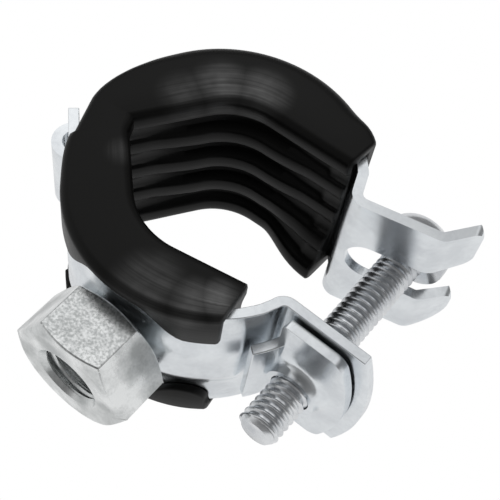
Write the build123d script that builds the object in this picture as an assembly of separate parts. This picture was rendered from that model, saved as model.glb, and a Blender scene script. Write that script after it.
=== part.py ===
"""Hinged pipe clamp with a ribbed rubber lining and one closing screw, partly open.

Millimetres. Z runs along the pipe, the ears point to +X and the hanger nut to -Y.
The origin is on the axis of the lower half ring, at the middle of the band's width.
The upper half is drawn closed and then turned open about the hinge.
"""
from build123d import *
import math
import os

os.makedirs("parts", exist_ok=True)

# Driving dimensions
PIPE_D = 17.2            # pipe that the closed clamp grips
BAND_W = 20.0            # width of the steel band
SHEET = 1.25             # thickness of every pressed piece
RING_IN = 14.5           # inner radius of both half rings
OPEN_DEG = 14.2          # how far the upper half stands open
HINGE_X, HINGE_Y = -18.6, -2.5
EAR_Y_LOW = -4.6         # top face of the lower ear
EAR_Y_UP = 1.6           # underside of the upper ear when closed
EAR_END_X = 24.8         # ear corner, before the rounded end
SCREW_X = 19.2
SCREW_D = 5.0
SCREW_LEN = 30.0
SCREW_TIP_Y = -15.2
NUT_AF = 14.0
NUT_FACE_Y = -23.7
ROD_D = 8.0              # hanger rod thread

# Named clearances and small sizes
FIT = 0.05               # lining round the steel
GAP = 0.3                # between pieces that move past each other
THREAD_FIT = 0.05        # screw in its collar, radial
BEAD_H = 0.7             # height of the pressed bead along the band
BEAD_TOP = 2.4           # half width of the bead's crest
BEAD_FOOT = 5.4          # half width of the bead's foot
LIP = 0.95               # rubber lip over the band's outside
LIP_SIDE = 1.5           # rubber beyond the band's edge
LIP_IN = 5.6             # half width of the bare strip between the lips
NUT_ROOM_X = 9.2         # half width of the arch that the lips leave round the nut
RIB_Z = (-5.0, 0.0, 5.0)
RIB_H = 1.1
LAND_IN = 9.0            # half width of the grooved zone of the bore
BEND_R = 2.0             # outside radius of the bends
HOOK_IN = 1.5            # inside radius of the hinge hook
TONGUE_HALF = 5.1        # half width of the hinge tongue
LEAF_SLOT = 6.5          # how far the hinge slot reaches back from the pin bar
BAR_HALF = 1.0           # half depth of the pin bar that the hook wraps

RING_OUT = RING_IN + SHEET
MID_R = RING_IN + SHEET / 2
HALF_W = BAND_W / 2
LINING_HALF = HALF_W + LIP_SIDE
LINING_R = RING_OUT + LIP
SEAT_R = PIPE_D / 2
LIP_R = SEAT_R + 0.2     # bore radius of the lower half's edge lips
LIP_R_UP = SEAT_R - 0.9   # the upper half's lips stand further in until a pipe presses them
BASE_R = RING_IN - FIT   # outside of the rubber under the band
HINGE = Vector(HINGE_X, HINGE_Y)
HINGE_DIST = HINGE.length
HINGE_ANG = math.degrees(math.atan2(HINGE_Y, HINGE_X)) % 360


def polar(radius, deg, centre=(0, 0)):
    a = math.radians(deg)
    return Vector(centre) + Vector(radius * math.cos(a), radius * math.sin(a))


def opened(shape):
    """Turn a shape of the closed upper half to its open place."""
    return shape.rotate(Axis((HINGE_X, HINGE_Y, 0), (0, 0, 1)), OPEN_DEG)


def open_point(p):
    d = Vector(p) - HINGE
    return HINGE + d.rotate(Axis.Z, OPEN_DEG)


def slab(face, half, z=0.0):
    """A flat outline given its thickness, centred on z."""
    return Pos(0, 0, z) * extrude(face, half, both=True)


def drum(radius, half, centre=(0, 0), z=0.0):
    middle = Vector(centre)
    return Pos(middle.X, middle.Y, z) * Cylinder(radius, 2 * half)


def sector_slab(deg_a, deg_b, half):
    """A pie slice from the ring's axis, wide enough to trim anything of the ring."""
    step = (deg_b - deg_a) / 4
    rim = [polar(3 * RING_OUT, deg_a + step * i) for i in range(5)]
    return slab(make_face(Polyline((0, 0), *rim, close=True)), half)


# --- the two pressed halves -------------------------------------------------

LEAF_DEG = HINGE_ANG + math.degrees(math.acos(MID_R / HINGE_DIST))
HOOK_OUT = HOOK_IN + SHEET
TONGUE_DEG = HINGE_ANG - math.degrees(math.acos((RING_IN + HOOK_OUT) / HINGE_DIST))
NECK_LOW_DEG = -27.0
NECK_UP_DEG = 24.0
EAR_BULGE = 2.0          # bow of the lower ear's end
SCREW_HOLE_R = SCREW_D / 2 + 0.5


def lower_strip():
    """Section of the lower half: ear, neck, half ring and the straight hinge leaf."""
    neck = polar(RING_IN, NECK_LOW_DEG)
    away = Vector(math.sin(math.radians(LEAF_DEG)), -math.cos(math.radians(LEAF_DEG)))
    leaf_root = polar(RING_IN, LEAF_DEG)
    leaf_len = math.sqrt(HINGE_DIST**2 - MID_R**2) + BAR_HALF
    ear = FilletPolyline(
        (EAR_END_X + 4, EAR_Y_LOW), (neck.X + 0.4, EAR_Y_LOW), neck, radius=BEND_R
    )
    ring = ThreePointArc(neck, polar(RING_IN, -90), leaf_root)
    leaf = Line(leaf_root, leaf_root + away * leaf_len)
    path = Wire([*ear.edges(), *ring.edges(), *leaf.edges()])
    return Face(path.offset_2d(SHEET, kind=Kind.ARC, side=Side.LEFT, closed=True))


PRONG_V = Vector(25.2, EAR_Y_UP)
PRONG_RISE = 41.0
PRONG_LEN = 5.2
PRONG_CORNER = 3.8       # the rear prong's outer corner is rounded off most
NECK_BEND_X = 13.8       # where the upper ear leaves its neck


def upper_strip():
    """Section of the closed upper half: turned-up prong, ear, half ring, tongue, hook."""
    neck = polar(RING_IN, NECK_UP_DEG)
    tip = PRONG_V + polar(PRONG_LEN, PRONG_RISE)
    ear = FilletPolyline(tip, PRONG_V, (NECK_BEND_X, EAR_Y_UP), neck, radius=BEND_R)
    root = polar(RING_IN, TONGUE_DEG)
    ring = ThreePointArc(neck, polar(RING_IN, 90), root)
    touch = TONGUE_DEG + 180
    reach = polar(HOOK_OUT, touch, HINGE)
    tongue = Line(root, reach)
    hook = ThreePointArc(
        reach, polar(HOOK_OUT, touch - 110, HINGE), polar(HOOK_OUT, touch - 220, HINGE)
    )
    path = Wire([*ear.edges(), *ring.edges(), *tongue.edges(), *hook.edges()])
    return Face(path.offset_2d(SHEET, kind=Kind.ARC, side=Side.RIGHT, closed=True))


def bead(deg_a, deg_b, radius):
    """Raised bead round part of a half ring, as a turned trapezium."""
    foot, top = radius - 0.4, radius + BEAD_H
    section = make_face(Polyline(
        (foot, 0, -BEAD_FOOT), (radius, 0, -BEAD_FOOT), (top, 0, -BEAD_TOP),
        (top, 0, BEAD_TOP), (radius, 0, BEAD_FOOT), (foot, 0, BEAD_FOOT), close=True
    ))
    turned = revolve(section, Axis.Z, deg_b - deg_a)
    return turned.rotate(Axis.Z, deg_a)


def rounded_ear_end():
    """Plan (x, z) of the lower ear with its bowed outer end."""
    inside = RING_IN / 2
    near, far = (EAR_END_X, -HALF_W), (EAR_END_X, HALF_W)
    return make_face(
        Polyline(near, (inside, -HALF_W), (inside, HALF_W), far)
        + ThreePointArc(far, (EAR_END_X + EAR_BULGE, 0), near)
    )


def standing(plan, y_low, y_high):
    """A plan drawn as (x, z) raised from y_low to y_high."""
    return Pos(0, y_high, 0) * Rot(90, 0, 0) * extrude(plan, y_high - y_low)


def lower_band():
    body = slab(lower_strip(), HALF_W)
    body += bead(LEAF_DEG + 4, 360 + NECK_LOW_DEG - 6, RING_OUT)
    body -= bead(LEAF_DEG + 6, 360 + NECK_LOW_DEG - 8, RING_OUT - SHEET)
    far = EAR_END_X + 10
    beyond = Pos(far, EAR_Y_LOW, 0) * Box(2 * (far - RING_IN - 1), 6, 2 * BAND_W)
    ear_plan = standing(rounded_ear_end(), EAR_Y_LOW - 3, EAR_Y_LOW + 3)
    body -= beyond - ear_plan
    body -= Pos(SCREW_X, EAR_Y_LOW, 0) * Rot(90, 0, 0) * Cylinder(SCREW_HOLE_R, 6)
    slot_mid = HINGE + polar((BAR_HALF + LEAF_SLOT) / 2, LEAF_DEG + 90)
    slot = Box(LEAF_SLOT - BAR_HALF, 4, 2 * (TONGUE_HALF + GAP + 0.1))
    body -= Pos(slot_mid.X, slot_mid.Y, 0) * Rot(0, 0, LEAF_DEG + 90) * slot
    return body


SLOT_HALF = SCREW_D / 2 + 0.4
SLOT_END_X = 15.2
SLOT_FLARE = 1.3         # how far the slot opens out toward the tips
FRONT_CORNER = 1.2
TIP_X = PRONG_V.X + PRONG_LEN * math.cos(math.radians(PRONG_RISE))


def hook_ear_plan():
    """Plan of the upper ear: two prongs with rounded tips and an open slot that flares."""
    x0, x1 = RING_IN / 2, TIP_X
    flare_x, mouth = PRONG_V.X - 0.8, SLOT_HALF + SLOT_FLARE
    outline = make_face(Polyline((x0, -HALF_W), (x1, -HALF_W), (x1, HALF_W), (x0, HALF_W), close=True))
    slot = make_face(Polyline(
        (SLOT_END_X + SLOT_HALF, -SLOT_HALF), (flare_x, -SLOT_HALF), (x1 + 1, -mouth),
        (x1 + 1, mouth), (flare_x, SLOT_HALF), (SLOT_END_X + SLOT_HALF, SLOT_HALF), close=True
    ))
    slot += Pos(SLOT_END_X + SLOT_HALF, 0) * Circle(SLOT_HALF)
    plan = outline - slot
    corners = ((-HALF_W, PRONG_CORNER), (HALF_W, FRONT_CORNER), (-mouth, SLOT_FLARE), (mouth, SLOT_FLARE))
    for z, radius in corners:
        corner = plan.vertices().sort_by_distance((x1, z, 0))[0]
        plan = fillet([corner], radius)
    return plan


def upper_band():
    strip = upper_strip()
    wide = slab(strip, HALF_W) - drum(HOOK_OUT + 1.9, BAND_W, HINGE)
    tongue = slab(strip, TONGUE_HALF) & drum(HOOK_OUT + 4, BAND_W, HINGE)
    body = wide + tongue
    body += bead(NECK_UP_DEG + 4, TONGUE_DEG - 4, RING_OUT)
    body -= bead(NECK_UP_DEG + 6, TONGUE_DEG - 6, RING_OUT - SHEET)
    far = EAR_END_X + 10
    beyond = Pos(far, EAR_Y_UP + 2, 0) * Box(2 * (far - RING_IN - 0.6), 9, 2 * BAND_W)
    body -= beyond - standing(hook_ear_plan(), EAR_Y_UP - 3, EAR_Y_UP + 8)
    return opened(body)


# --- rubber lining ----------------------------------------------------------

END_LOW = Vector(10.2, -6.9)
END_LOW_OUT = Vector(11.2, -14.0)
END_UP = Vector(12.0, 5.4)
END_UP_OUT = Vector(14.3, 12.0)
NOTCH = Vector(-12.0, -0.5)


def touch_deg(point, radius, side):
    """Angle at which a line from point touches a circle round the axis."""
    lean = math.degrees(math.acos(radius / point.length))
    return math.degrees(math.atan2(point.Y, point.X)) + side * lean


def bore_outline(radius, radius_up, spread=0.0):
    """Free space inside the open lining: two arcs with straight runs to ends and notch."""
    grow = 1 + spread / RING_IN
    end_low, end_up, notch = END_LOW * grow, END_UP * grow, NOTCH * grow
    low_a = touch_deg(end_low, radius, -1)
    low_b = touch_deg(notch, radius, 1)
    up_a = touch_deg(end_up, radius_up, 1)
    up_b = touch_deg(notch, radius_up, -1) % 360
    arc_low = ThreePointArc(*(polar(radius, d) for d in (low_a, (low_a + low_b) / 2, low_b)))
    arc_up = ThreePointArc(*(open_point(polar(radius_up, d)) for d in (up_b, (up_a + up_b) / 2, up_a)))
    return make_face([
        Line(end_low, arc_low @ 0), arc_low, Line(arc_low @ 1, notch),
        Line(notch, open_point(notch)), Line(open_point(notch), arc_up @ 0),
        arc_up, Line(arc_up @ 1, open_point(end_up)), Line(open_point(end_up), end_low),
    ])


def mouth_outline(inset=0.0):
    """Everything beyond the two free ends of the lining."""
    back = Vector(-inset, 0)
    a, b = END_LOW + back, END_LOW_OUT + back
    c, d = open_point(END_UP_OUT + back), open_point(END_UP + back)
    return make_face(Polyline(a, b, (b.X, -40), (60, -40), (60, 40), (c.X, 40), c, d, close=True))


def two_drums(radius, half):
    """Both half rings' discs at one radius, with their common tangent on the hinge side."""
    upper = open_point((0, 0))
    lean = math.degrees(math.atan2(upper.Y, upper.X)) + 90
    corners = [polar(radius, lean), polar(radius, lean, upper), upper, (0, 0)]
    web = slab(make_face(Polyline(*corners, close=True)), half)
    return drum(radius, half) + drum(radius, half, upper) + web


def rib(z, crest_r):
    """One gripping rib: a true arc on the pipe, falling away at both ends."""
    from_deg, to_deg = 202.0, 314.0
    low_end, notch = END_LOW + Vector(-0.6, -0.9), NOTCH + Vector(0.1, -0.5)
    arc = ThreePointArc(*(polar(crest_r, d) for d in (to_deg, 258, from_deg)))
    sunk = make_face([
        arc, Line(arc @ 1, notch), Line(notch, polar(RING_IN - 1, 190)),
        ThreePointArc(polar(RING_IN - 1, 190), polar(RING_IN - 1, 258), polar(RING_IN - 1, 325)),
        Line(polar(RING_IN - 1, 325), low_end), Line(low_end, arc @ 0),
    ])
    return slab(sunk, 1.25, z)


def mirrored_rib(z):
    """The same rib on the upper half."""
    return opened(mirror(rib(z, LIP_R_UP - 0.1), Plane.XZ))


def round_edges(body, z):
    edges = body.edges().filter_by_position(Axis.Z, z - 0.01, z + 0.01)
    return fillet(edges, 1.0)


def rubber_lining():
    body = two_drums(LINING_R, LINING_HALF)
    body -= slab(bore_outline(LIP_R, LIP_R_UP), LAND_IN * 2)
    body -= slab(mouth_outline(), LAND_IN * 2)
    body = round_edges(body, LINING_HALF)
    body = round_edges(body, -LINING_HALF)
    floor = bore_outline(LIP_R + RIB_H, LIP_R_UP + RIB_H, RIB_H)
    groove = slab(floor, LAND_IN) - slab(mouth_outline(1.2), LAND_IN * 2)
    body -= groove
    for z in RIB_Z:
        keep = two_drums(BASE_R, LAND_IN) - slab(mouth_outline(1.0), LAND_IN * 2)
        body += rib(z, SEAT_R) & keep
        body += mirrored_rib(z) & keep
    base = two_drums(BASE_R, LINING_HALF)
    bare = slab(make_face(Rectangle(90, 90)), LIP_IN) - base
    edge = HALF_W + FIT
    hinge_side = sector_slab(LEAF_DEG - 44 - 40, LEAF_DEG - 4, edge) - base
    channel_low = drum(RING_OUT + FIT, edge) & sector_slab(LEAF_DEG - 5, 360 + 20, edge)
    channel_up = opened(drum(RING_OUT + FIT, edge) & sector_slab(-20, TONGUE_DEG + 2, edge))
    arch = Pos(0, -RING_OUT - 2, 0) * Rot(90, 0, 0) * extrude(Ellipse(NUT_ROOM_X, HALF_W), 3, both=True)
    nut_room = arch - drum(RING_OUT + FIT, 30)
    for cut in (bare, hinge_side, channel_low - base, channel_up - base, nut_room):
        body -= cut
    return body


# --- nut, screw and threaded plate ------------------------------------------

ROD_CORE_R = ROD_D / 2 - 0.6
SINK_R = ROD_D / 2 + 0.2  # mouth radius of the bore's countersinks
SINK_H = 0.8
NUT_CHAMFER = 0.75
NUT_SADDLE = 2.0         # blank left long, then cut to the band's crest
NUT_INNER = 0.8          # thread stops this far short of the band


def connection_nut():
    """Welded hexagon: chamfered corners, bore countersunk at both ends, saddle on the bead."""
    crest = RING_OUT + BEAD_H
    length = -NUT_FACE_Y - crest + NUT_SADDLE
    corner_r = NUT_AF / math.sqrt(3) + 0.1
    blank = extrude(RegularPolygon(NUT_AF / 2, 6, major_radius=False), length)
    turned = revolve(make_face(Polyline(
        (0, 0), (NUT_AF / 2 - 0.2, 0), (corner_r, NUT_CHAMFER), (corner_r, length), (0, length), close=True
    )), Axis.Y)
    bore_end = -NUT_FACE_Y - crest - NUT_INNER
    bore = revolve(make_face(Polyline(
        (0, 0), (SINK_R, 0), (ROD_CORE_R, SINK_H), (ROD_CORE_R, bore_end),
        (SINK_R, bore_end + SINK_H), (SINK_R, length), (0, length), close=True
    )), Axis.Y)
    body = (Rot(-90, 0, 0) * blank & turned) - bore
    return Pos(0, NUT_FACE_Y, 0) * body - drum(crest, BAND_W)


HEAD_R = 4.65
HEAD_H = 3.7
HEAD_RIM = 1.1           # straight part of the head's side
SHANK_R = SCREW_D / 2
SHANK_TIP = 0.5          # chamfer of the screw's tip
RECESS_L, RECESS_W, RECESS_DEEP = 5.0, 1.0, 1.7


def closing_screw():
    """Pan head screw standing along Y; its thread is cut into the finished shank."""
    top = SCREW_LEN + HEAD_H
    rim = SCREW_LEN + HEAD_RIM
    outline = (
        Polyline((0, 0), (SHANK_R - SHANK_TIP, 0), (SHANK_R, SHANK_TIP), (SHANK_R, SCREW_LEN),
                 (HEAD_R, SCREW_LEN), (HEAD_R, rim))
        + ThreePointArc((HEAD_R, rim), (HEAD_R * 0.74, top - 0.7), (0, top))
        + Line((0, top), (0, 0))
    )
    body = revolve(make_face(outline), Axis.Y)
    recess = Pos(0, top, 0) * Box(RECESS_L, 2 * RECESS_DEEP, RECESS_W)
    for turn in (0, 90):
        body -= Rot(0, turn, 0) * recess
    return Pos(SCREW_X, SCREW_TIP_Y, 0) * body


PLATE_X0, PLATE_X1 = 15.6, 23.0
PLATE_HALF = 9.0
PLATE_BULGE = 2.2        # bow of the plate's outer end
COLLAR_H = 1.6
COLLAR_R = 3.3           # outside of the drawn collar
DRAW_R = 5.6             # where the draw leaves the flat plate
FLANGE_H = 3.8
FLANGE_HALF = 5.5


def threaded_plate():
    """Pressed plate under the lower ear, with a drawn collar and a turned-down inner end."""
    top = EAR_Y_LOW - SHEET - GAP
    bore_r = SHANK_R + THREAD_FIT
    near, far = (PLATE_X1, -PLATE_HALF), (PLATE_X1, PLATE_HALF)
    plan = make_face(
        Polyline(near, (PLATE_X0, -PLATE_HALF), (PLATE_X0, PLATE_HALF), far)
        + ThreePointArc(far, (PLATE_X1 + PLATE_BULGE, 0), near)
    )
    body = standing(plan, top - SHEET, top)
    root, neck = (DRAW_R, -SHEET), (COLLAR_R, -SHEET - COLLAR_H / 2)
    collar = revolve(make_face(
        Polyline((0, 0), (DRAW_R, 0), root)
        + ThreePointArc(root, (COLLAR_R + 0.7, -SHEET - 0.2), neck)
        + Polyline(neck, (COLLAR_R - 0.1, -SHEET - COLLAR_H), (0, -SHEET - COLLAR_H), (0, 0))
    ), Axis.Y)
    body += Pos(SCREW_X, top, 0) * collar
    flange_r = RING_OUT + BEAD_H + GAP
    flange = drum(flange_r + SHEET, FLANGE_HALF) - drum(flange_r, BAND_W)
    keep = Pos(PLATE_X0, top - FLANGE_H / 2, 0) * Box(6, FLANGE_H, 2 * FLANGE_HALF)
    body += flange & keep
    body -= drum(flange_r, BAND_W)
    body -= Pos(SCREW_X, top, 0) * Rot(90, 0, 0) * Cylinder(bore_r, 20)
    return body


PARTS = {
    "lower_band": lower_band,
    "upper_band": upper_band,
    "rubber_lining": rubber_lining,
    "connection_nut": connection_nut,
    "closing_screw": closing_screw,
    "threaded_plate": threaded_plate,
}

for name, make in PARTS.items():
    shape = make()
    shape.label = name
    export_step(shape, f"parts/{name}.step")
    box = shape.bounding_box()
    print(name, len(shape.solids()), "solid", round(shape.volume, 1), "mm3",
          [round(v, 2) for v in (*box.min, *box.max)])
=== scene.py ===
"""Looks of the rubber lined pipe clamp: bright zinc plating, black rubber and cut threads.

Sizes are in millimetres and become metres when a mesh is finished. The upper half keeps its
solid. The lining, the screw, the nut, the lower half and the threaded plate are made here,
each in the place of its solid.
"""

import math
import bpy
import bmesh
from mathutils import Matrix, Vector


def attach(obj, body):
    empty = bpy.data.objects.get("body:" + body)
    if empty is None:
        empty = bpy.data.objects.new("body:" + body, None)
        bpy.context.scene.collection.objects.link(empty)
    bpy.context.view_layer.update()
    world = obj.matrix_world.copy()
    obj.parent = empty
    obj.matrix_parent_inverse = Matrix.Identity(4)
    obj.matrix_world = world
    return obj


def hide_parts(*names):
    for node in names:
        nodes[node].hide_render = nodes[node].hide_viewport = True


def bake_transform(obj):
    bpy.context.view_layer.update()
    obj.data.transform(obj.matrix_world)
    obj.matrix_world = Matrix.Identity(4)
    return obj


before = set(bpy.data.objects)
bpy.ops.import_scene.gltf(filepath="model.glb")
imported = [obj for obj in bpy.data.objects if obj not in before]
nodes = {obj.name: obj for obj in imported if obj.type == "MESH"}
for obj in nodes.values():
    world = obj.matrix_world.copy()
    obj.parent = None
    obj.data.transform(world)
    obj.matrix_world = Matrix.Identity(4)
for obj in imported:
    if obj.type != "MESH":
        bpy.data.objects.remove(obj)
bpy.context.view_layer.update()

MM = 0.001
CENTRE = Vector((0, 0, 0))

# Driving sizes, the same as the solid model's
RING_IN = 14.5           # inner radius of both half rings
SHEET = 1.25             # thickness of every pressed piece
HALF_W = 10.0            # half width of the band
SEAT_R = 8.6             # radius of the pipe that the closed clamp grips
OPEN_DEG = 14.2          # how far the upper half stands open
HINGE = Vector((-18.6, -2.5, 0))
EAR_Y_LOW = -4.6         # top face of the lower ear
BEAD_H = 0.7             # height of the pressed bead along the band
GAP = 0.3                # between pieces that move past each other
FIT = 0.05               # lining round the steel
SCREW_X = 19.2
LIP = 0.95               # rubber lip over the band's outside
LIP_SIDE = 1.5           # rubber beyond the band's edge
LINING_HALF = HALF_W + LIP_SIDE


# --- small helpers ----------------------------------------------------------

def srgb(code):
    """Linear RGBA from an sRGB hex code."""
    out = []
    for i in (1, 3, 5):
        c = int(code[i:i + 2], 16) / 255
        out.append(c / 12.92 if c <= 0.04045 else ((c + 0.055) / 1.055) ** 2.4)
    return (*out, 1.0)


def grey(v):
    return (v, v, v, 1.0)


def fade(at, gone, full):
    """Smooth step along a scale: 0 up to gone, 1 from full on, in either direction."""
    x = min(1.0, max(0.0, (at - gone) / (full - gone)))
    return x * x * (3 - 2 * x)


def polar(radius, deg, centre=CENTRE):
    a = math.radians(deg)
    return centre + Vector((radius * math.cos(a), radius * math.sin(a), 0))


def angle_of(p):
    return math.degrees(math.atan2(p.y, p.x))


def opened(p):
    """A point of the closed upper half in its open place."""
    return HINGE + Matrix.Rotation(math.radians(OPEN_DEG), 3, "Z") @ (p - HINGE)


def run_length(points):
    """Distance walked along a line of points, at each of them."""
    walk = [0.0]
    for a, b in zip(points, points[1:]):
        walk.append(walk[-1] + (b - a).length)
    return walk


# --- meshes and modifiers ---------------------------------------------------

def mesh_object(name, bm, material, smooth_deg=38.0):
    """Finishes a bmesh drawn in millimetres into a shown object."""
    bmesh.ops.scale(bm, vec=(MM, MM, MM), verts=bm.verts)
    bmesh.ops.recalc_face_normals(bm, faces=bm.faces)
    limit = math.radians(smooth_deg)
    for face in bm.faces:
        face.smooth = True
    for edge in bm.edges:
        if len(edge.link_faces) == 2 and edge.calc_face_angle(0) > limit:
            edge.smooth = False
    mesh = bpy.data.meshes.new(name)
    bm.to_mesh(mesh)
    bm.free()
    obj = bpy.data.objects.new(name, mesh)
    bpy.context.scene.collection.objects.link(obj)
    mesh.materials.append(material)
    return obj


def placed_grid(bm, rows):
    """A grid of faces with its corners on rows of points. Returns its vertices in those rows."""
    columns = len(rows[0])
    made = bmesh.ops.create_grid(bm, x_segments=columns - 1, y_segments=len(rows) - 1, size=1.0)
    verts = made["verts"]
    for vert, point in zip(verts, [point for row in rows for point in row]):
        vert.co = point
    return [verts[i:i + columns] for i in range(0, len(verts), columns)]


def join_seam(bm, grid):
    """Closes a grid whose rows end where they begin."""
    bmesh.ops.weld_verts(bm, targetmap={row[-1]: row[0] for row in grid})


def thick_sheet(inner, outer, wrap=False, is_open=None):
    """A sheet made as one skin of points, then extruded to the other. Open cells are left out."""
    bm = bmesh.new()
    across = bm.verts.layers.float_vector.new("across")
    grid = placed_grid(bm, inner)
    for row, row_out in zip(grid, outer):
        for vert, point in zip(row, row_out):
            vert[across] = Vector(point) - vert.co
    if is_open:
        cells = len(inner[0]) - 1
        gone = [face for n, face in enumerate(bm.faces) if is_open(*divmod(n, cells))]
        bmesh.ops.delete(bm, geom=gone, context="FACES")
    if wrap:
        join_seam(bm, grid)
    skin = bm.faces[:] + bm.edges[:] + bm.verts[:]
    made = bmesh.ops.extrude_face_region(bm, geom=skin, use_keep_orig=True)
    for vert in made["geom"]:
        if isinstance(vert, bmesh.types.BMVert):
            vert.co += vert[across]
    bm.verts.layers.float_vector.remove(across)
    return bm


def turned(bm, outline, centre_x, steps=64):
    """Spins an outline of (radius, y) points round a Y axis."""
    verts = [bm.verts.new((centre_x + r, y, 0)) for r, y in outline]
    edges = [bm.edges.new(pair) for pair in zip(verts, verts[1:])]
    bmesh.ops.spin(bm, geom=verts + edges, cent=(centre_x, 0, 0), axis=(0, 1, 0),
                   angle=2 * math.pi, steps=steps, use_duplicate=False)
    bmesh.ops.remove_doubles(bm, verts=bm.verts, dist=0.001)


# One pitch of a thread, rounded at crest and root: (share of the pitch, share of the depth)
THREAD_PROFILE = (
    (0, 1), (0.1, 1), (0.36, 0.12), (0.46, 0), (0.56, 0), (0.66, 0.12), (0.92, 1), (1, 1),
)
THREAD_STEPS = 48        # faces round one turn


def helix(bm, crest_r, root_r, pitch, y_low, y_high, centre_x):
    """Spins one pitch of a rounded thread profile into a helical surface along Y."""
    turns = math.ceil((y_high - y_low) / pitch) + 1
    start = y_low - pitch
    profile = []
    for share, depth in THREAD_PROFILE:
        r = crest_r + (root_r - crest_r) * depth
        profile.append(bm.verts.new((centre_x + r, start + share * pitch, 0)))
    edges = [bm.edges.new(pair) for pair in zip(profile, profile[1:])]
    bmesh.ops.spin(
        bm, geom=profile + edges, cent=(centre_x, 0, 0), axis=(0, 1, 0), angle=turns * 2 * math.pi,
        steps=turns * THREAD_STEPS, dvec=(0, pitch / THREAD_STEPS, 0), use_duplicate=False,
    )
    bmesh.ops.remove_doubles(bm, verts=bm.verts, dist=0.002)
    for y, off in ((y_low, -1), (y_high, 1)):
        geom = bm.verts[:] + bm.edges[:] + bm.faces[:]
        bmesh.ops.bisect_plane(bm, geom=geom, plane_co=(0, y, 0), plane_no=(0, off, 0), clear_outer=True)


def cut_away(piece, bm, cutter_name, cut_name, material):
    """Cuts a hidden shape out of a piece."""
    cutter = mesh_object(cutter_name, bm, material)
    cutter.hide_render = True
    cutter.hide_viewport = True
    cut = piece.modifiers.new(cut_name, "BOOLEAN")
    cut.object = cutter
    cut.solver = "EXACT"


def break_edges(obj, width, segments=2, over_deg=40, flat_faces=True):
    """A fine bevel breaks the edges that the press or the lathe left sharp."""
    soft = obj.modifiers.new("broken edges", "BEVEL")
    soft.width = width * MM
    soft.segments = segments
    soft.limit_method = "ANGLE"
    soft.angle_limit = math.radians(over_deg)
    soft.harden_normals = flat_faces


# --- materials --------------------------------------------------------------

def new_material(name):
    mat = bpy.data.materials.new(name)
    mat.use_nodes = True
    return mat, mat.node_tree, mat.node_tree.nodes["Principled BSDF"]


def wire(tree, node, inputs):
    """Gives a node's inputs, by name or number, a value, an output or a node's first output."""
    for socket, given in inputs.items():
        if isinstance(given, bpy.types.Node):
            given = given.outputs[0]
        if isinstance(given, bpy.types.NodeSocket):
            tree.links.new(given, node.inputs[socket])
        else:
            node.inputs[socket].default_value = given


def add(tree, kind, inputs=None, stops=(), **settings):
    """Adds a node with its settings, its inputs and, on a ramp, its (position, colour) stops."""
    node = tree.nodes.new(kind)
    for key, value in settings.items():
        setattr(node, key, value)
    wire(tree, node, inputs or {})
    for i, (position, colour) in enumerate(stops):
        elements = node.color_ramp.elements
        element = elements[i] if i < len(elements) else elements.new(position)
        element.position = position
        element.color = colour
    return node


CLOUD_MM = 4.0           # width of the plating's cloudy patches
GRAIN_DEEP = 0.05


def zinc(name, light, dark, rough, grain_mm, grain_bump, speckle):
    """Zinc plating: a soft cloudy tone, and a fine grain that speckles faces that look up."""
    mat, tree, shader = new_material(name)
    place = add(tree, "ShaderNodeTexCoord").outputs["Object"]
    cloud_in = {"Vector": place, "Scale": 1 / (CLOUD_MM * MM), "Detail": 3.0}
    cloud = add(tree, "ShaderNodeTexNoise", cloud_in)
    grain_in = {"Vector": place, "Scale": 1 / (grain_mm * MM), "Detail": 2.0}
    grain = add(tree, "ShaderNodeTexNoise", grain_in)
    normal = add(tree, "ShaderNodeNewGeometry").outputs["Normal"]
    up = add(tree, "ShaderNodeSeparateXYZ", {0: normal}).outputs[2]
    facing_up = add(tree, "ShaderNodeValToRGB", {0: up}, [(0.8, grey(0.15)), (0.95, grey(speckle))])
    tone = add(tree, "ShaderNodeMix", {"Factor": facing_up, "A": cloud, "B": grain})
    colour = add(tree, "ShaderNodeValToRGB", {0: tone}, [(0.38, srgb(dark)), (0.62, srgb(light))])
    satin = [(0.35, grey(rough + 0.04)), (0.65, grey(rough - 0.03))]
    gloss = add(tree, "ShaderNodeValToRGB", {0: cloud}, satin)
    bump_in = {"Height": grain, "Strength": grain_bump, "Distance": GRAIN_DEEP * MM}
    bump = add(tree, "ShaderNodeBump", bump_in)
    wire(tree, shader, {"Base Color": colour, "Roughness": gloss, "Normal": bump, "Metallic": 1.0})
    return mat


# Painted highlights on the rubber, standing in for the lamps' sheen on its bulges: shinier places as (point,
# radius, strength), and the dull rest
PAINTED_SHEEN = [
    ((-10.8, 7.7, 11.5), 4.0, 0.7),
    ((-8.5, 11.6, 11.5), 4.5, 1.2),
    ((-4.4, 13.9, 11.5), 4.5, 1.1),
    ((-10.4, -3.4, 11.5), 2.4, 0.5),
    ((3.0, -14.1, 11.5), 5.0, 0.9),
    ((7.2, -12.7, 11.5), 3.5, 1.4),
    ((9.3, -10.8, 11.5), 3.0, 1.9),
]
RUBBER_DULL = 0.12
MOTTLE_MM = 2.5          # width of the patches that break up the shine
LINES_ALONG, LINES_ACROSS = 0.05, 3.2   # extrusion lines per mm, coarser than real ones so they show


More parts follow.
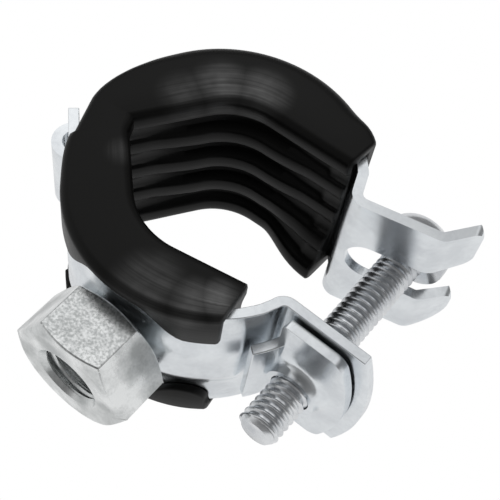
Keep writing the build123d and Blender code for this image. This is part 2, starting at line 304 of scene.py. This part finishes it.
def rubber():
    """Black EPDM: extrusion lines along the strip, dull, with painted highlights: a few shinier places set
    where the lamps' sheen falls.
    """
    mat, tree, shader = new_material("black_rubber")
    coordinate = add(tree, "ShaderNodeTexCoord").outputs
    along = add(tree, "ShaderNodeMapping", {0: coordinate["UV"], "Scale": (LINES_ALONG, LINES_ACROSS, 1.0)})
    streak_in = {"Vector": along, "Scale": 1.0, "Detail": 4.0, "Roughness": 0.6}
    streak = add(tree, "ShaderNodeTexNoise", streak_in)
    place = coordinate["Object"]
    patch_in = {"Vector": place, "Scale": 1 / (MOTTLE_MM * MM), "Detail": 2.0}
    patch = add(tree, "ShaderNodeTexNoise", patch_in)
    shine = 0.0
    # Painted highlights: the specular level is raised in the listed spots where the lamps' sheen should show
    for at, radius, strength in PAINTED_SHEEN:
        off = add(tree, "ShaderNodeVectorMath", {0: place, 1: Vector(at) * MM}, operation="DISTANCE")
        spot_in = {
            "Value": off.outputs["Value"], "From Min": radius * MM, "From Max": 0.0,
            "To Min": 0.0, "To Max": strength,
        }
        spot = add(tree, "ShaderNodeMapRange", spot_in, interpolation_type="SMOOTHSTEP")
        shine = add(tree, "ShaderNodeMath", {0: shine, 1: spot}, operation="MAXIMUM")
    mottle = add(tree, "ShaderNodeValToRGB", {0: patch}, [(0.3, grey(0.55)), (0.7, grey(1.0))])
    lined = add(tree, "ShaderNodeValToRGB", {0: streak}, [(0.35, grey(0.45)), (0.65, grey(1.0))])
    broken = add(tree, "ShaderNodeMath", {0: mottle, 1: lined}, operation="MULTIPLY")
    # the painted highlight spots, broken up by the patches and the extrusion lines
    painted_sheen = add(tree, "ShaderNodeMath", {0: shine, 1: broken}, operation="MULTIPLY")
    level = add(tree, "ShaderNodeMath", {0: painted_sheen, 1: RUBBER_DULL}, operation="ADD")
    lines = add(tree, "ShaderNodeBump", {"Height": streak, "Strength": 0.3, "Distance": 0.04 * MM})
    wire(tree, shader, {
        "Base Color": srgb("#131312"), "Roughness": 0.4, "IOR": 1.6,
        "Specular IOR Level": level, "Normal": lines,
    })
    return mat


# Cold rolled strip, pressed and zinc plated: nearly white and satin, with a faint cloud
ZINC_SHEET = zinc("zinc_sheet", "#f0f4f7", "#e2e6ea", 0.23, 0.5, 0.02, 0.2)
# Cold headed screw, zinc plated: a little greyer, with a fine grain on the head
ZINC_SCREW = zinc("zinc_screw", "#eceef0", "#cfd2d6", 0.25, 0.35, 0.05, 0.5)
# Nut, tumbled and zinc plated: a fine, strong grain that speckles the facet that looks up
ZINC_NUT = zinc("zinc_nut", "#f4f6f6", "#bdc0c0", 0.28, 0.3, 0.12, 0.8)
RUBBER = rubber()


# --- rubber lining ----------------------------------------------------------

LIP_R = SEAT_R + 0.2     # bore radius of the lower half's edge lips
LIP_R_UP = SEAT_R - 0.9  # the upper half's lips stand further in until a pipe presses them
OUT_R = RING_IN + SHEET + LIP
END_LOW = Vector((10.2, -6.9, 0))       # bore edges of the two free ends and of the hinge notch
END_UP = Vector((12.0, 5.4, 0))
NOTCH = Vector((-12.0, -0.5, 0))
END_LOW_OUT_DEG = -48.9  # where the outside ends, and where it passes the hinge
END_UP_OUT_DEG = 35.9
HINGE_OUT_DEG = 194.7
STEP_DEG = 3.0
NEAR_ENDS = (0.2, 0.5)   # extra stations at both ends of a half, in shares of a step
FOLD_Y = -1.0            # the strip folds between the halves above this height

RIB_PITCH = 5.0
RIB_HALF = 0.8           # half width of a rib's crest
RIB_PROUD = 0.2          # ribs stand this far above the lips on the pipe
RIB_SINK = 0.55          # and are this much lower where the bore has left it
RIB_SUNK_AT = 2.0        # distance from the pipe at which they are
RIB_FADE = 11.0          # the grooves grow to full depth over this length from the hinge
GROOVE = 1.2             # depth of the grooves' floor
GROOVE_HINGE = 0.25      # depth below the crests that is left at the hinge
GROOVE_END = 0.45        # and at the free ends
POCKET_END = 2.2         # the grooves stop in small pockets this far from the free ends

FLAP_Z = 6.0             # the flap over the band starts at this half width
NO_FLAP_Z = 10.1
FLAP_END_LOW_DEG = -137.0
FLAP_END_UP_DEG = 166.0
FLAP_STEP = 0.002        # half of the share of a half's run in which a flap ends
FLAP_ROUND = 3.0         # the rear flap's free corners are rounded over this length
FLAP_CUT = 0.7           # and over this share of its width
NUT_DEG = -90.0
NUT_ROOM_DEG = 30.0      # the flaps arch away this far to each side of the nut
NUT_CLEAR_DEG = 10.0     # and are gone from here on
REAR_DROOP = 2.8         # the rear lip rolls inward at the upper free end
DROOP_LEN = 10.0
OUTER_SQUEEZE = 0.8      # the outer corner is this much shorter along the pipe than deep
END_EDGE, END_PILLOW = 0.22, 0.18   # the cut ends swell a little inside a soft edge


def reach(p, lip_r):
    """Half angle between a point and the touching point of its tangent to the lip circle."""
    return math.degrees(math.acos(lip_r / p.length))


def bore_r(deg, lip_r, low, high):
    """Bore radius at an angle: an arc from low to high with tangent lines beyond."""
    if deg < low:
        return lip_r / math.cos(math.radians(low - deg))
    if deg > high:
        return lip_r / math.cos(math.radians(deg - high))
    return lip_r


def half_stations(inner_deg, outer_deg, lip_r, arc, flap_first, flap_change_deg, flap_then):
    """Stations along one half: (bore point, outer point, flap's half width, outer angle)."""
    start_in, end_in = inner_deg
    start_out, end_out = outer_deg
    count = round(abs(end_in - start_in) / STEP_DEG)
    shares = {i / count for i in range(count + 1)}
    shares |= {part / count for part in NEAR_ENDS} | {1 - part / count for part in NEAR_ENDS}
    change = (flap_change_deg - start_out) / (end_out - start_out)
    shares |= {change - FLAP_STEP, change + FLAP_STEP}
    rows = []
    for share in sorted(shares):
        a = start_in + (end_in - start_in) * share
        b = start_out + (end_out - start_out) * share
        flap = flap_then if share > change else flap_first
        flap += (NO_FLAP_Z - flap) * fade(abs(b - NUT_DEG), NUT_ROOM_DEG, NUT_CLEAR_DEG)
        rows.append((polar(bore_r(a, lip_r, *arc), a), polar(OUT_R, b), flap, b))
    return rows


def lining_stations():
    """Both halves' stations, from the lower free end to the hinge and on to the upper end."""
    end_deg, notch_deg = angle_of(END_LOW), angle_of(NOTCH)
    arc = notch_deg + reach(NOTCH, LIP_R), end_deg - reach(END_LOW, LIP_R)
    lower = half_stations(
        (end_deg, notch_deg), (END_LOW_OUT_DEG, HINGE_OUT_DEG - 360), LIP_R, arc,
        FLAP_Z, FLAP_END_LOW_DEG, NO_FLAP_Z,
    )
    end_deg, notch_deg = angle_of(END_UP), angle_of(NOTCH) + 360
    arc = end_deg + reach(END_UP, LIP_R_UP), notch_deg - reach(NOTCH, LIP_R_UP)
    upper = half_stations(
        (notch_deg, end_deg), (HINGE_OUT_DEG - OPEN_DEG, END_UP_OUT_DEG), LIP_R_UP, arc,
        NO_FLAP_Z, FLAP_END_UP_DEG, FLAP_Z,
    )
    return lower, [(opened(p), opened(q), flap, b + OPEN_DEG) for p, q, flap, b in upper]


def outer_edge(deg, lower):
    """(rounding, bulge) of the lip: full at the hinge and the free end, soft over the crown."""
    if lower:
        return 1.1, 0.8 * fade(deg, -140.0, -168.0)
    crown = fade(deg, 175.0, 150.0) * fade(deg, 56.0, 70.0)
    return 1.0 + 1.1 * crown, 0.9 * fade(deg, 165.0, 193.0) + 0.4 * fade(deg, 66.0, 52.0)


def rib_depths(p, lower, from_end, from_hinge):
    """Depths of the ribs' crests and of the grooves' floor, from the line of the lips."""
    off_pipe = p.length - LIP_R if lower else (p - opened(CENTRE)).length - LIP_R_UP
    crest = RIB_SINK * min(1.0, max(0.0, off_pipe / RIB_SUNK_AT)) - RIB_PROUD
    shallow = crest + GROOVE_HINGE
    groove = GROOVE if from_end > POCKET_END else crest + GROOVE_END
    return crest, shallow + (groove - shallow) * fade(from_hinge, 0.0, RIB_FADE)


def flank(crest, groove, edge, way):
    """One side of a rib, from the edge of its crest down to the groove: (depth, z)."""
    return [(crest, edge), (crest + 0.1, edge + 0.28 * way), (crest + 0.4, edge + 0.48 * way),
            (groove - 0.12, edge + 0.8 * way), (groove, edge + 1.2 * way)]


def section(flap, crest, groove, round_out, bulge):
    """Half of the strip's section: (from the bore or the outside, depth, z)."""
    half = LINING_HALF
    ribs = [(crest, 0.0)] + flank(crest, groove, RIB_HALF, 1)
    ribs += reversed(flank(crest, groove, RIB_PITCH - RIB_HALF, -1))
    ribs += flank(crest, groove, RIB_PITCH + RIB_HALF, 1)
    # The lip's inner side, from the last groove up and round to the strip's flat side
    lip = [(groove, 8.0), (groove - 0.12, 8.4), (0.4, 8.7), (0.1, 8.92), (0.0, 9.2),
           (0.0, half - 1.1), (0.08, half - 0.7), (0.3, half - 0.3), (0.7, half - 0.08), (1.1, half)]
    corner = []
    for i in range(9):
        a = math.radians(90 * i / 8)
        along = round_out * OUTER_SQUEEZE * (1 - math.cos(a))
        corner.append((round_out * (1 - math.sin(a)) - bulge, half - along))
    low_edge = min(flap + 0.3, half - round_out * OUTER_SQUEEZE - 0.05)
    foot = min(flap, low_edge - 0.3)
    over, back, side = LIP - FIT, SHEET + LIP + FIT, HALF_W + FIT
    edge = [(-bulge, low_edge), (0.09 - bulge, low_edge - 0.2), (0.3 - bulge, foot), (over, foot)]
    channel = [(over, side), (back, side), (back, 0.0)]
    return [("in", d, z) for d, z in ribs + lip] + [("out", d, z) for d, z in corner + edge + channel]


def strip_ring(p, q, flap, depths, edge, near_end, droop):
    """The whole section at one station, as a closed ring of points."""
    rounded = flap + (NO_FLAP_Z - flap) * FLAP_CUT * (1 - math.sqrt(1 - near_end**2))
    front = section(flap, *depths, *edge)
    rear = section(rounded, *depths, *edge)
    line = (q - p).normalized()
    ring = []
    for side, d, z in front + [(side, d, -z) for side, d, z in reversed(rear[1:-1])]:
        at = p + line * d if side == "in" else q - line * d
        drop = droop * fade(z, 0.0, -LINING_HALF) if side == "in" else 0.0
        ring.append(Vector((at.x, at.y - drop, z)))
    return ring + ring[:1]


def lining():
    """One strip swept through both halves, which bends at the hinge."""
    lower_half, upper_half = lining_stations()
    stations = lower_half + upper_half
    walk = run_length([(p + q) / 2 for p, q, _, _ in stations])
    hinge_walk = walk[len(lower_half) - 1]
    rings = []
    for (p, q, flap, deg), here in zip(stations, walk):
        lower = p.y < FOLD_Y
        to_upper_end = walk[-1] - here
        from_end = min(here, to_upper_end)
        depths = rib_depths(p, lower, from_end, abs(here - hinge_walk))
        near_end = max(0.0, 1 - from_end / FLAP_ROUND)
        droop = REAR_DROOP * fade(to_upper_end, DROOP_LEN, 0.0)
        rings.append(strip_ring(p, q, flap, depths, outer_edge(deg, lower), near_end, droop))
    girth = run_length(rings[0])
    bm = bmesh.new()
    uv_layer = bm.loops.layers.uv.new("strip")
    grid = placed_grid(bm, rings)
    for row, along in zip(grid, walk):
        for vert, round_it in zip(row, girth):
            for loop in vert.link_loops:
                loop[uv_layer].uv = (along, round_it)
    join_seam(bm, grid)
    caps = [bm.faces.new(grid[0][-2::-1]), bm.faces.new(grid[-1][:-1])]
    bmesh.ops.recalc_face_normals(bm, faces=bm.faces)
    bmesh.ops.inset_individual(bm, faces=caps, thickness=END_EDGE, depth=END_PILLOW)
    piece = mesh_object("rubber_strip", bm, RUBBER, 50.0)
    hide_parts("rubber_lining")
    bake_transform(piece)


# --- screw and nut ----------------------------------------------------------

SCREW_TIP_Y = -15.2
SCREW_LEN = 30.0
SCREW_R = 2.45
SCREW_ROOT_R = SCREW_R - 0.42
SCREW_PITCH = 0.9        # a little coarser than the real 0.8, so that the turns show
TIP_CHAMFER = 0.55
HEAD_R = 4.65
HEAD_H = 4.4             # fuller than the solid's 3.7
HEAD_RIM = 1.1           # straight part of the head's side
HEAD_FULL = 0.55         # 1 is a round dome, less is fuller at the shoulder
RECESS = (4.8, 4.2, 1.05)   # each bar of the cross, half sunk: length, height, width


def screw():
    """The closing screw: threaded shank, pan head with a cross recess."""
    end, under = SCREW_TIP_Y, SCREW_TIP_Y + SCREW_LEN
    bm = bmesh.new()
    helix(bm, SCREW_R, SCREW_ROOT_R, SCREW_PITCH, end + TIP_CHAMFER, under - 0.2, SCREW_X)
    turned(bm, [(0, end), (SCREW_R - 0.75, end), (SCREW_R - 0.62, end + 0.05),
                (SCREW_R - 0.2, end + TIP_CHAMFER + 0.05)], SCREW_X)
    shank = mesh_object("screw_shank", bm, ZINC_SCREW)
    rim = under + HEAD_RIM
    dome = [(0.0, under), (HEAD_R - 0.25, under), (HEAD_R - 0.05, under + 0.12),
            (HEAD_R, under + 0.35), (HEAD_R, rim)]
    for i in range(1, 16):
        a = math.radians(90 * i / 16)
        dome.append((HEAD_R * math.cos(a) ** HEAD_FULL, rim + (HEAD_H - HEAD_RIM) * math.sin(a)))
    dome.append((0.0, under + HEAD_H))
    bm = bmesh.new()
    turned(bm, dome, SCREW_X)
    head = mesh_object("screw_head", bm, ZINC_SCREW)
    for turn in (0, 90):
        bar = bmesh.new()
        bmesh.ops.create_cube(bar, size=1.0)
        bmesh.ops.scale(bar, vec=RECESS, verts=bar.verts)
        bmesh.ops.rotate(bar, matrix=Matrix.Rotation(math.radians(turn), 3, "Y"), verts=bar.verts)
        bmesh.ops.translate(bar, vec=(SCREW_X, under + HEAD_H, 0), verts=bar.verts)
        cut_away(head, bar, f"recess_cutter_{turn}", f"recess {turn}", ZINC_SCREW)
    for piece in (shank, head):
        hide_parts("closing_screw")
        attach(piece, "screw")


NUT_AF = 14.0
NUT_FACE_Y = -23.7
NUT_INNER_Y = -RING_IN - SHEET - 0.65
NUT_CHAMFER = 0.75       # depth of the turned chamfer at both ends
NUT_EDGE = 0.42
ROD_R = 4.0              # hanger rod thread
ROD_MINOR_R = 3.4
ROD_PITCH = 1.25
MOUTH_R = ROD_R + 0.2


def nut():
    """The welded hexagon nut: chamfered at both ends, broken edges, M8 thread inside."""
    face_r = NUT_AF / 2 - 0.2
    corner_r = NUT_AF / math.sqrt(3) + 0.05
    bm = bmesh.new()
    turned(bm, [(MOUTH_R, NUT_FACE_Y), (face_r, NUT_FACE_Y), (corner_r, NUT_FACE_Y + NUT_CHAMFER),
                (corner_r, NUT_INNER_Y - NUT_CHAMFER), (face_r, NUT_INNER_Y), (MOUTH_R, NUT_INNER_Y)],
           0.0, 120)
    for i in range(6):
        flat = Vector((math.sin(math.radians(60 * i)), 0, math.cos(math.radians(60 * i))))
        geom = bm.verts[:] + bm.edges[:] + bm.faces[:]
        at = flat * NUT_AF / 2
        cut = bmesh.ops.bisect_plane(bm, geom=geom, plane_co=at, plane_no=flat, clear_outer=True)
        rim = [e for e in cut["geom_cut"] if isinstance(e, bmesh.types.BMEdge)]
        bmesh.ops.contextual_create(bm, geom=rim)
    bmesh.ops.recalc_face_normals(bm, faces=bm.faces)
    body = mesh_object("nut_body", bm, ZINC_NUT, 24.0)
    break_edges(body, NUT_EDGE, 3, 24, flat_faces=False)
    bm = bmesh.new()
    helix(bm, ROD_MINOR_R, ROD_R, ROD_PITCH, NUT_FACE_Y + 0.5, NUT_INNER_Y, 0.0)
    turned(bm, [(MOUTH_R, NUT_FACE_Y), (ROD_MINOR_R + 0.25, NUT_FACE_Y + NUT_CHAMFER)], 0.0, 96)
    thread = mesh_object("nut_thread", bm, ZINC_NUT)
    for piece in (body, thread):
        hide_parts("connection_nut")
        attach(piece, "lower")


# --- pressed pieces ---------------------------------------------------------

EAR_END_X = 24.8         # ear corner, before the rounded end
EAR_BULGE = 2.0          # bow of the ear's end
NECK_LOW_DEG = -27.0
BEND_R = 2.0
LEAF_DEG = 223.96        # where the straight hinge leaf leaves the ring
LEAF_LEN = 12.1
LEAF_SLOT = (4.0, LEAF_LEN - 1.0)   # the hinge slot's run along the leaf
SLOT_HALF = 5.5
BEAD_FOOT = 5.5          # half width of the bead's foot
BEAD_TOP = 2.5           # half width of its crest
BEAD_START_DEG = 3.0     # the bead begins this far round from the leaf
BEAD_END_DEG = 4.0       # and ends this far from the neck
BEAD_RISE_DEG = (7.0, 9.0)   # turn over which it rises there
SCREW_HOLE_R = 3.0
SHEET_EDGE = 0.16        # broken edge of the bands

# Lines along the half ring, from its rear edge to the middle, closer on the bead's flank
BAND_LINES = (-HALF_W, -9.2, -7.5, -5.9, -5.5, -4.9, -4.3, -3.7, -3.1, -2.5, -1.9, -0.9)


def lower_path():
    """Stations of the lower half from ear to pin bar: (inner point, outward, part, share or run)."""
    neck = polar(RING_IN, NECK_LOW_DEG)
    corner = Vector((neck.x + 0.4, EAR_Y_LOW, 0))
    along, down = Vector((1, 0, 0)), (neck - corner).normalized()
    half_turn = along.angle(down) / 2
    run = BEND_R / math.tan(half_turn)
    centre = corner + (along + down).normalized() * BEND_R / math.sin(half_turn)
    start = corner + along * run - centre
    sweep = math.pi - 2 * half_turn
    path = []
    for i in range(8, 0, -1):
        at = corner + along * (run + (EAR_END_X - corner.x - run) * i / 8)
        path.append((at, Vector((0, -1, 0)), "ear", i / 8))
    for i in range(9):
        arm = Matrix.Rotation(sweep * i / 8, 3, "Z") @ start
        path.append((centre + arm, -arm.normalized(), "bend", 0))
    first = NECK_LOW_DEG - 1.0
    for i in range(1, 40):
        deg = first - (first + 360 - LEAF_DEG) * i / 39
        path.append((polar(RING_IN, deg), polar(1, deg), "ring", deg))
    root, away = polar(RING_IN, LEAF_DEG), polar(1, LEAF_DEG - 90)
    for i in range(1, 13):
        run = LEAF_LEN * i / 12
        path.append((root + away * run, polar(1, LEAF_DEG), "leaf", run))
    return path


def lower_band():
    """Lower half: ear, neck, ring with its pressed bead, slotted leaf."""
    lines = [*BAND_LINES, 0.0, *(-z for z in reversed(BAND_LINES))]
    path = lower_path()
    inner, outer = [], []
    for at, outward, part, value in path:
        height, bow = 0.0, 0.0
        if part == "ring":
            deg, height = value % 360, BEAD_H
            start_deg, end_deg = LEAF_DEG + BEAD_START_DEG, 360 + NECK_LOW_DEG - BEAD_END_DEG
            height *= fade(deg, start_deg, start_deg + BEAD_RISE_DEG[0])
            height *= fade(deg, end_deg, end_deg - BEAD_RISE_DEG[1])
        if part == "ear":
            bow = EAR_BULGE * value
        row_in, row_out = [], []
        for z in lines:
            rise = height * fade(abs(z), BEAD_FOOT, BEAD_TOP)
            p = at + outward * rise + Vector((bow * (1 - (z / HALF_W) ** 2), 0, z))
            row_in.append(p)
            row_out.append(p + outward * SHEET)
        inner.append(row_in)
        outer.append(row_out)

    def in_slot(i, j):
        (_, _, part, a), (_, _, next_part, b) = path[i], path[i + 1]
        middle = abs(lines[j] + lines[j + 1]) / 2 < SLOT_HALF
        return part == next_part == "leaf" and middle and a > LEAF_SLOT[0] and b < LEAF_SLOT[1]

    bm = thick_sheet(inner, outer, is_open=in_slot)
    band = mesh_object("lower_sheet", bm, ZINC_SHEET, 35.0)
    place = Matrix.Translation((SCREW_X, EAR_Y_LOW, 0)) @ Matrix.Rotation(math.radians(90), 4, "X")
    hole = bmesh.new()
    bmesh.ops.create_cone(hole, segments=48, radius1=SCREW_HOLE_R, radius2=SCREW_HOLE_R, depth=4.0,
                          cap_ends=True, matrix=place)
    cut_away(band, hole, "hole_cutter", "screw hole", ZINC_SHEET)
    break_edges(band, SHEET_EDGE)
    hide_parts("lower_band")
    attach(band, "lower")


PLATE_X0, PLATE_X1 = 15.6, 23.0
PLATE_HALF = 9.0
PLATE_BULGE = 2.2        # bow of the plate's outer end
BOW_RUN = 1.3            # the bow takes in the outer corners
PLATE_STEP = 0.8         # between points along the outline
PLATE_EDGE = 0.18
CORNER_IN, CORNER_OUT = 0.5, 1.2
COLLAR_H = 1.6
FLANGE_Z = (-5.5, -2.0, 2.0, 5.5)
FLANGE_DEG, FLANGE_SWEEP = -22.5, 13.5

# Upper and under side of the draw, from the collar's end to the flat: (radius, height)
DRAW_TOP = ((2.55, -SHEET - COLLAR_H), (2.55, -1.2), (2.7, -0.6), (3.1, -0.15), (3.6, 0.0), (5.6, 0.0))
DRAW_UNDER = (
    (3.25, -SHEET - COLLAR_H), (3.3, -SHEET - 0.9), (3.55, -SHEET - 0.5),
    (4.1, -SHEET - 0.2), (4.8, -SHEET - 0.05), (5.8, -SHEET),
)


def plate_outline():
    """Outline of the threaded plate as (x, z): square inner end, bowed outer end."""
    corners = [(PLATE_X0, -PLATE_HALF, CORNER_IN), (PLATE_X1, -PLATE_HALF, CORNER_OUT),
               (PLATE_X1, PLATE_HALF, CORNER_OUT), (PLATE_X0, PLATE_HALF, CORNER_IN)]
    points = []
    for x, z, r in corners:
        way_x, way_z = math.copysign(1, x - SCREW_X), math.copysign(1, z)
        first = math.degrees(math.atan2(way_z, way_x)) - 45
        for i in range(7):
            a = math.radians(first + 15 * i)
            points.append((x - way_x * r + r * math.cos(a), z - way_z * r + r * math.sin(a)))
    dense = []
    for (x, z), (x2, z2) in zip(points, points[1:] + points[:1]):
        count = max(1, round(math.hypot(x2 - x, z2 - z) / PLATE_STEP))
        dense += [(x + (x2 - x) * i / count, z + (z2 - z) * i / count) for i in range(count)]
    outline = []
    for x, z in dense:
        bow = PLATE_BULGE * (1 - (z / PLATE_HALF) ** 2) if x > PLATE_X1 - BOW_RUN else 0.0
        outline.append((x + bow, z))
    return outline + outline[:1]


def threaded_plate():
    """Plate under the ear with a drawn collar, and the flange that backs on the band."""
    top = EAR_Y_LOW - SHEET - GAP
    outline = plate_outline()
    inner, outer = [], []
    for (r_in, y_in), (r_out, y_out) in zip(DRAW_TOP, DRAW_UNDER):
        ring_in, ring_out = [], []
        for x, z in outline:
            spoke = Vector((x - SCREW_X, 0, z))
            way, limit = spoke.normalized(), spoke.length - 0.05
            ring_in.append(Vector((SCREW_X, top + y_in, 0)) + way * min(r_in, limit - 0.1))
            ring_out.append(Vector((SCREW_X, top + y_out, 0)) + way * min(r_out, limit))
        inner.append(ring_in)
        outer.append(ring_out)
    inner.append([Vector((x, top, z)) for x, z in outline])
    outer.append([Vector((x, top - SHEET, z)) for x, z in outline])
    bm = thick_sheet(inner, outer, wrap=True)
    plate = mesh_object("plate_sheet", bm, ZINC_SHEET, 35.0)
    back_r = RING_IN + SHEET + BEAD_H + GAP
    inner, outer = [], []
    for i in range(9):
        deg = FLANGE_DEG - FLANGE_SWEEP * i / 8
        inner.append([polar(back_r, deg, Vector((0, 0, z))) for z in FLANGE_Z])
        outer.append([polar(back_r + SHEET, deg, Vector((0, 0, z))) for z in FLANGE_Z])
    flange = mesh_object("plate_flange", thick_sheet(inner, outer), ZINC_SHEET, 35.0)
    for piece in (plate, flange):
        break_edges(piece, PLATE_EDGE)
        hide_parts("threaded_plate")
        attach(piece, "lower")


def upper_band():
    """The upper half keeps its solid; only its cut edges are broken."""
    obj = nodes["upper_band"]
    obj.data.materials.clear()
    obj.data.materials.append(ZINC_SHEET)
    break_edges(obj, SHEET_EDGE)


# --- stage ------------------------------------------------------------------

TABLE_HALF = 900
TABLE_MIRRORED = 0.7     # how bright the plating mirrors the table

# Soft panels of the room: (direction, full within deg, gone beyond deg, brightness)
PANELS = [
    ((-0.42, 0.36, 0.83), 7, 27, 0.85),
    ((0.25, 0.47, 0.84), 5, 24, 0.8),
    ((0.92, 0.35, 0.05), 8, 24, 0.5),
    ((-0.9, -0.3, 0.35), 15, 50, 0.55),
]
ROOM_SHADES = [(0.0, grey(0.1)), (0.12, grey(0.28)), (0.5, grey(0.2)), (1.0, grey(0.12))]

KEY_AT = Vector((-75, 150, 170))
KEY_TOWARD = Vector((-5, 15, 10))
KEY_SIZE = (80, 26)
KEY_WATTS = 0.012

LENS = 77.0
EYE = Vector((36.7, -56.9, 106.6))
LOOK = Vector((-0.2548, 0.4707, -0.8447))
UP = Vector((-0.5746, 0.6289, 0.5238))


def link(name, data):
    obj = bpy.data.objects.new(name, data)
    bpy.context.scene.collection.objects.link(obj)
    return obj


def white_table():
    """Matt white table that the camera and mirrored rays see as plain white."""
    mat, tree, shader = new_material("white_table")
    wire(tree, shader, {"Base Color": srgb("#f2f2f2"), "Roughness": 0.9})
    glow = add(tree, "ShaderNodeEmission", {"Color": srgb("#ffffff"), "Strength": 1.0})
    ray = add(tree, "ShaderNodeLightPath").outputs
    mirrored = add(tree, "ShaderNodeMath", {0: ray["Is Glossy Ray"], 1: TABLE_MIRRORED}, operation="MULTIPLY")
    seen = add(tree, "ShaderNodeMath", {0: ray["Is Camera Ray"], 1: mirrored}, operation="ADD")
    mix = add(tree, "ShaderNodeMixShader", {0: seen, 1: shader, 2: glow})
    wire(tree, tree.nodes["Material Output"], {"Surface": mix})
    bm = bmesh.new()
    bmesh.ops.create_grid(bm, x_segments=1, y_segments=1, size=TABLE_HALF)
    bmesh.ops.translate(bm, vec=(0, 0, -LINING_HALF), verts=bm.verts)
    bmesh.ops.scale(bm, vec=(MM, MM, MM), verts=bm.verts)
    mesh = bpy.data.meshes.new("table")
    bm.to_mesh(mesh)
    bm.free()
    mesh.materials.append(mat)
    table = link("table", mesh)


def studio_room():
    """A grey room with soft panels for the plating to mirror, plain white to the camera."""
    world = bpy.data.worlds.new("studio")
    bpy.context.scene.world = world
    world.use_nodes = True
    tree = world.node_tree
    way = add(tree, "ShaderNodeTexCoord").outputs["Generated"]
    height = add(tree, "ShaderNodeSeparateXYZ", {0: way}).outputs[2]
    shade = add(tree, "ShaderNodeValToRGB", {0: height}, ROOM_SHADES)
    for at, full_deg, gone_deg, strength in PANELS:
        aim = Vector(at).normalized()
        near = add(tree, "ShaderNodeVectorMath", {0: way, 1: aim}, operation="DOT_PRODUCT").outputs["Value"]
        full, gone = math.cos(math.radians(full_deg)), math.cos(math.radians(gone_deg))
        panel = add(tree, "ShaderNodeValToRGB", {0: near}, [(gone, grey(0)), (full, grey(strength))])
        shade = add(tree, "ShaderNodeMixRGB", {0: 1.0, 1: shade, 2: panel}, blend_type="ADD")
    room = tree.nodes["Background"]
    wire(tree, room, {"Color": shade})
    white = add(tree, "ShaderNodeBackground", {"Color": srgb("#ffffff"), "Strength": 1.0})
    seen = add(tree, "ShaderNodeLightPath").outputs["Is Camera Ray"]
    mix = add(tree, "ShaderNodeMixShader", {0: seen, 1: room, 2: white})
    wire(tree, tree.nodes["World Output"], {"Surface": mix})


def key_light():
    """A weak long lamp behind, for the shadow and the sheen on the rubber."""
    data = bpy.data.lights.new("key_back", "AREA")
    data.shape = "RECTANGLE"
    data.size, data.size_y = KEY_SIZE[0] * MM, KEY_SIZE[1] * MM
    data.energy = KEY_WATTS
    obj = link("key_back", data)
    obj.location = KEY_AT * MM
    obj.rotation_euler = (KEY_TOWARD - KEY_AT).normalized().to_track_quat("-Z", "Y").to_euler()


def camera():
    data = bpy.data.cameras.new("camera")
    data.lens = LENS
    data.sensor_width = 36.0
    data.clip_start = 0.005
    obj = link("camera", data)
    look = LOOK.normalized()
    side = look.cross(UP).normalized()
    turn = Matrix((side, side.cross(look), -look)).transposed()
    obj.matrix_world = Matrix.Translation(EYE * MM) @ turn.to_4x4()
    bpy.context.scene.camera = obj


lining()
screw()
nut()
lower_band()
threaded_plate()
upper_band()
white_table()
studio_room()
key_light()
camera()
bpy.context.scene.view_settings.view_transform = "Standard"
